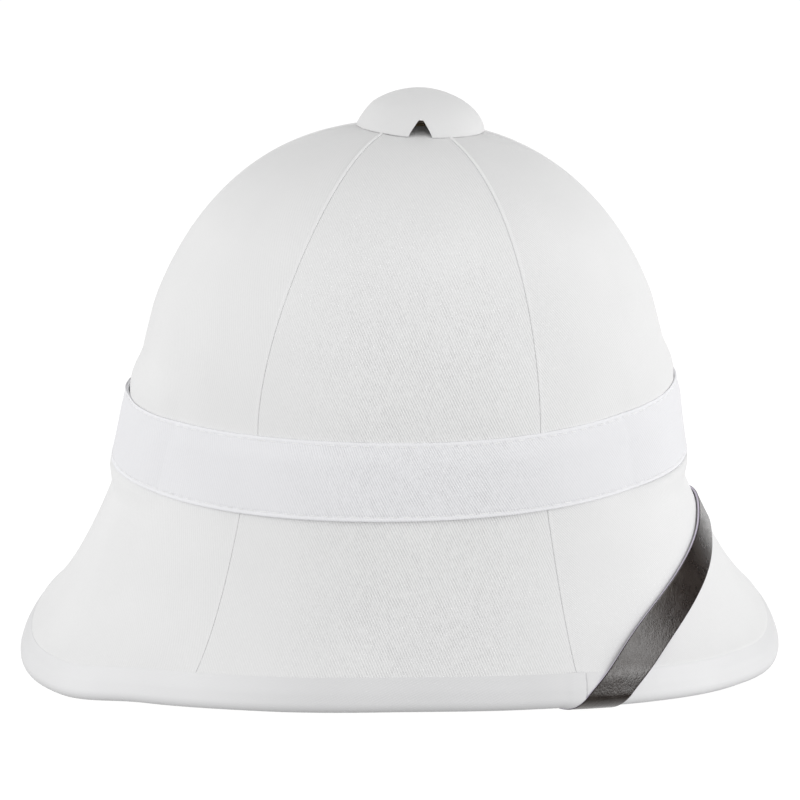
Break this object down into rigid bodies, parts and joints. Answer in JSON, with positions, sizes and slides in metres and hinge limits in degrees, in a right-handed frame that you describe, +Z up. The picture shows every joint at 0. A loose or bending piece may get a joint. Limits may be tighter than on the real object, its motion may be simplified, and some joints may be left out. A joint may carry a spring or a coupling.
{
  "type": "pith helmet",
  "caption": "Cloth-covered pith sun helmet: tall crown in gores, flared brim with a bound rim, hat band, ventilator button and a black leather chin strap worn over the front of the brim.",
  "frame": {"origin": "on the floor, under the middle of the rim's box", "axes": "+Z up out of the crown, -Y the way the wearer faces, -X the wearer's right side"},
  "size_m": [0.271, 0.33, 0.2381],
  "materials": {
    "cloth": "matte white cotton twill",
    "band": "matte white cotton twill, turned-in and stitched edges",
    "tape": "matte white cotton tape folded round the rim",
    "pith": "matte light pith, like cork",
    "leather": "semi-gloss black leather with a soft sheen",
    "steel": "plain satin stud"
  },
  "bodies": {
    "root": {"pith_shell": "pith", "panel_front_right": "cloth", "panel_right": "cloth", "panel_back_right": "cloth", "panel_back_left": "cloth", "panel_left": "cloth", "panel_front_left": "cloth", "hat_band": "band", "rim_binding": "tape", "vent_button": "cloth", "chin_strap": "leather", "strap_stud_right": "steel", "strap_stud_left": "steel"}
  },
  "joints": []
}
